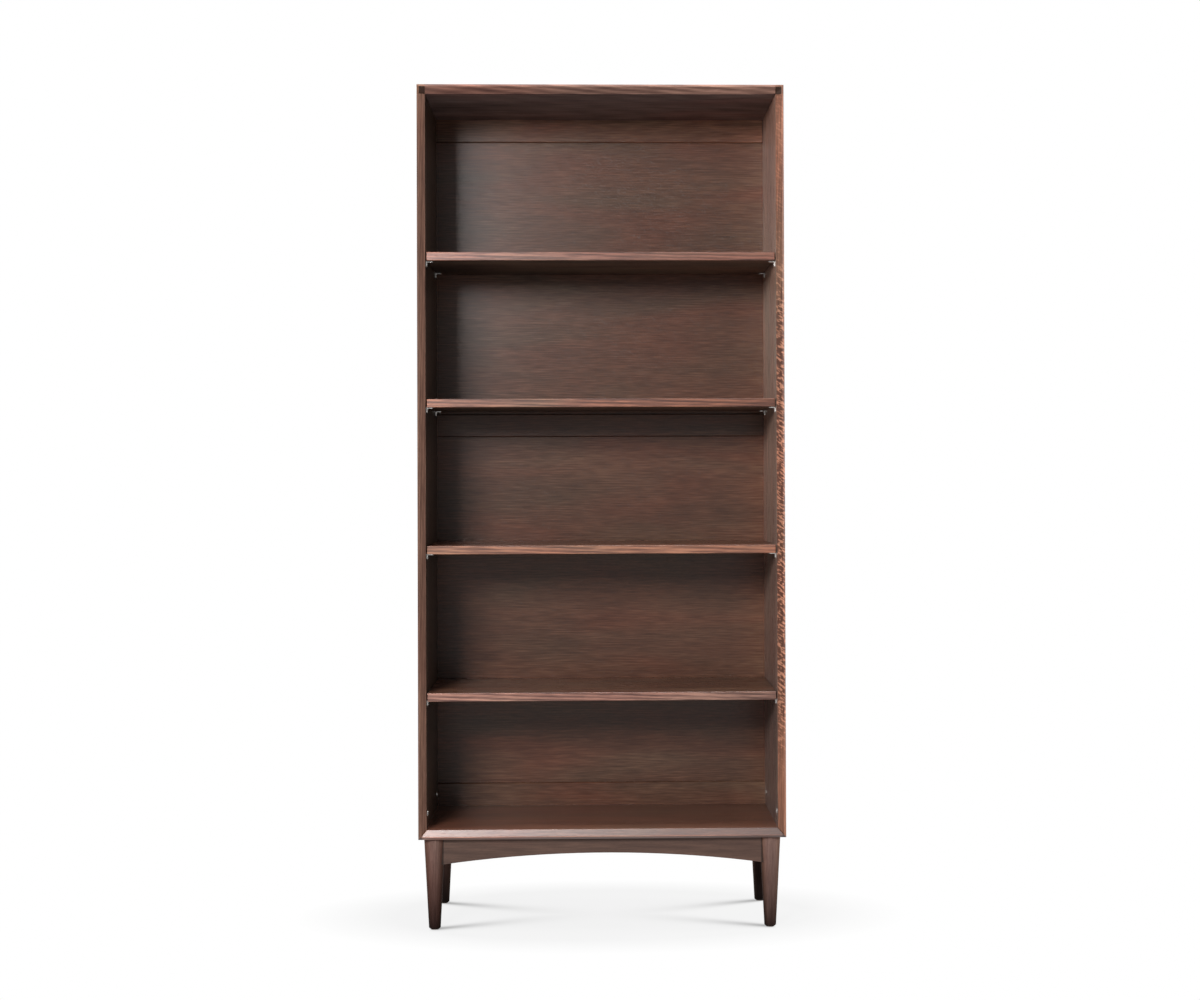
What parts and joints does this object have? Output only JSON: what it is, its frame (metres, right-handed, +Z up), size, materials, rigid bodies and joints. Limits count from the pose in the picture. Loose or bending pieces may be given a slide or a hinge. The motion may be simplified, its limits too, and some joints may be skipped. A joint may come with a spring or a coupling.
{
  "type": "bookcase with adjustable shelves",
  "caption": "Tall open bookcase with lift-off shelves on pin supports in drilled sides, a framed back and a base of turned, tapered legs with an arched front apron.",
  "frame": {"origin": "on the floor under the middle of the case", "axes": "+X to the right seen from the open front, +Y to the back, +Z up"},
  "size_m": [0.8, 0.35, 1.842],
  "materials": {
    "case_walnut": "satin lacquered walnut",
    "back_walnut": "satin lacquered walnut",
    "shelf_walnut": "satin lacquered walnut",
    "base_walnut": "satin lacquered walnut",
    "inner_wood": "plain sanded beech",
    "nickel": "nickel plated",
    "zinc_steel": "zinc plated",
    "nylon": "moulded nylon"
  },
  "bodies": {
    "carcass": {"left_side": "case_walnut", "right_side": "case_walnut", "top_panel": "case_walnut", "bottom_panel": "case_walnut", "top_left_post": "case_walnut", "top_right_post": "case_walnut", "corner_tongues": "inner_wood", "top_back_rail": "back_walnut", "middle_back_rail": "back_walnut", "bottom_back_rail": "back_walnut", "upper_back_panel": "back_walnut", "lower_back_panel": "back_walnut", "corner_cams": "nickel", "corner_bolts": "zinc_steel", "front_left_leg": "base_walnut", "front_right_leg": "base_walnut", "rear_right_leg": "base_walnut", "rear_left_leg": "base_walnut", "front_left_corner_block": "inner_wood", "front_right_corner_block": "inner_wood", "rear_right_corner_block": "inner_wood", "rear_left_corner_block": "inner_wood", "front_apron": "base_walnut", "rear_apron": "base_walnut", "left_apron": "base_walnut", "right_apron": "base_walnut", "hanger_bolts": "zinc_steel", "hanger_washers": "zinc_steel", "hanger_nuts": "zinc_steel", "base_screws": "zinc_steel", "foot_glides": "nylon"},
    "shelf_1": {"shelf_1": "shelf_walnut"},
    "shelf_2": {"shelf_2": "shelf_walnut"},
    "shelf_3": {"shelf_3": "shelf_walnut"},
    "shelf_4": {"shelf_4": "shelf_walnut"},
    "support_1_left_front": {"support_1_left_front": "nickel"},
    "support_1_left_rear": {"support_1_left_rear": "nickel"},
    "support_1_right_front": {"support_1_right_front": "nickel"},
    "support_1_right_rear": {"support_1_right_rear": "nickel"},
    "support_2_left_front": {"support_2_left_front": "nickel"},
    "support_2_left_rear": {"support_2_left_rear": "nickel"},
    "support_2_right_front": {"support_2_right_front": "nickel"},
    "support_2_right_rear": {"support_2_right_rear": "nickel"},
    "support_3_left_front": {"support_3_left_front": "nickel"},
    "support_3_left_rear": {"support_3_left_rear": "nickel"},
    "support_3_right_front": {"support_3_right_front": "nickel"},
    "support_3_right_rear": {"support_3_right_rear": "nickel"},
    "support_4_left_front": {"support_4_left_front": "nickel"},
    "support_4_left_rear": {"support_4_left_rear": "nickel"},
    "support_4_right_front": {"support_4_right_front": "nickel"},
    "support_4_right_rear": {"support_4_right_rear": "nickel"}
  },
  "joints": [
    {"name": "shelf_1_lift", "type": "slide", "parent": "carcass", "child": "shelf_1", "axis": [0, 0, 1], "range_m": [0, 0.28]},
    {"name": "shelf_2_lift", "type": "slide", "parent": "carcass", "child": "shelf_2", "axis": [0, 0, 1], "range_m": [0, 0.28]},
    {"name": "shelf_3_lift", "type": "slide", "parent": "carcass", "child": "shelf_3", "axis": [0, 0, 1], "range_m": [0, 0.28]},
    {"name": "shelf_4_lift", "type": "slide", "parent": "carcass", "child": "shelf_4", "axis": [0, 0, 1], "range_m": [0, 0.28]},
    {"name": "support_1_left_front_pull", "type": "slide", "parent": "carcass", "child": "support_1_left_front", "axis": [1, 0, 0], "range_m": [0, 0.012]},
    {"name": "support_1_left_rear_pull", "type": "slide", "parent": "carcass", "child": "support_1_left_rear", "axis": [1, 0, 0], "range_m": [0, 0.012]},
    {"name": "support_1_right_front_pull", "type": "slide", "parent": "carcass", "child": "support_1_right_front", "axis": [-1, 0, 0], "range_m": [0, 0.012]},
    {"name": "support_1_right_rear_pull", "type": "slide", "parent": "carcass", "child": "support_1_right_rear", "axis": [-1, 0, 0], "range_m": [0, 0.012]},
    {"name": "support_2_left_front_pull", "type": "slide", "parent": "carcass", "child": "support_2_left_front", "axis": [1, 0, 0], "range_m": [0, 0.012]},
    {"name": "support_2_left_rear_pull", "type": "slide", "parent": "carcass", "child": "support_2_left_rear", "axis": [1, 0, 0], "range_m": [0, 0.012]},
    {"name": "support_2_right_front_pull", "type": "slide", "parent": "carcass", "child": "support_2_right_front", "axis": [-1, 0, 0], "range_m": [0, 0.012]},
    {"name": "support_2_right_rear_pull", "type": "slide", "parent": "carcass", "child": "support_2_right_rear", "axis": [-1, 0, 0], "range_m": [0, 0.012]},
    {"name": "support_3_left_front_pull", "type": "slide", "parent": "carcass", "child": "support_3_left_front", "axis": [1, 0, 0], "range_m": [0, 0.012]},
    {"name": "support_3_left_rear_pull", "type": "slide", "parent": "carcass", "child": "support_3_left_rear", "axis": [1, 0, 0], "range_m": [0, 0.012]},
    {"name": "support_3_right_front_pull", "type": "slide", "parent": "carcass", "child": "support_3_right_front", "axis": [-1, 0, 0], "range_m": [0, 0.012]},
    {"name": "support_3_right_rear_pull", "type": "slide", "parent": "carcass", "child": "support_3_right_rear", "axis": [-1, 0, 0], "range_m": [0, 0.012]},
    {"name": "support_4_left_front_pull", "type": "slide", "parent": "carcass", "child": "support_4_left_front", "axis": [1, 0, 0], "range_m": [0, 0.012]},
    {"name": "support_4_left_rear_pull", "type": "slide", "parent": "carcass", "child": "support_4_left_rear", "axis": [1, 0, 0], "range_m": [0, 0.012]},
    {"name": "support_4_right_front_pull", "type": "slide", "parent": "carcass", "child": "support_4_right_front", "axis": [-1, 0, 0], "range_m": [0, 0.012]},
    {"name": "support_4_right_rear_pull", "type": "slide", "parent": "carcass", "child": "support_4_right_rear", "axis": [-1, 0, 0], "range_m": [0, 0.012]}
  ]
}
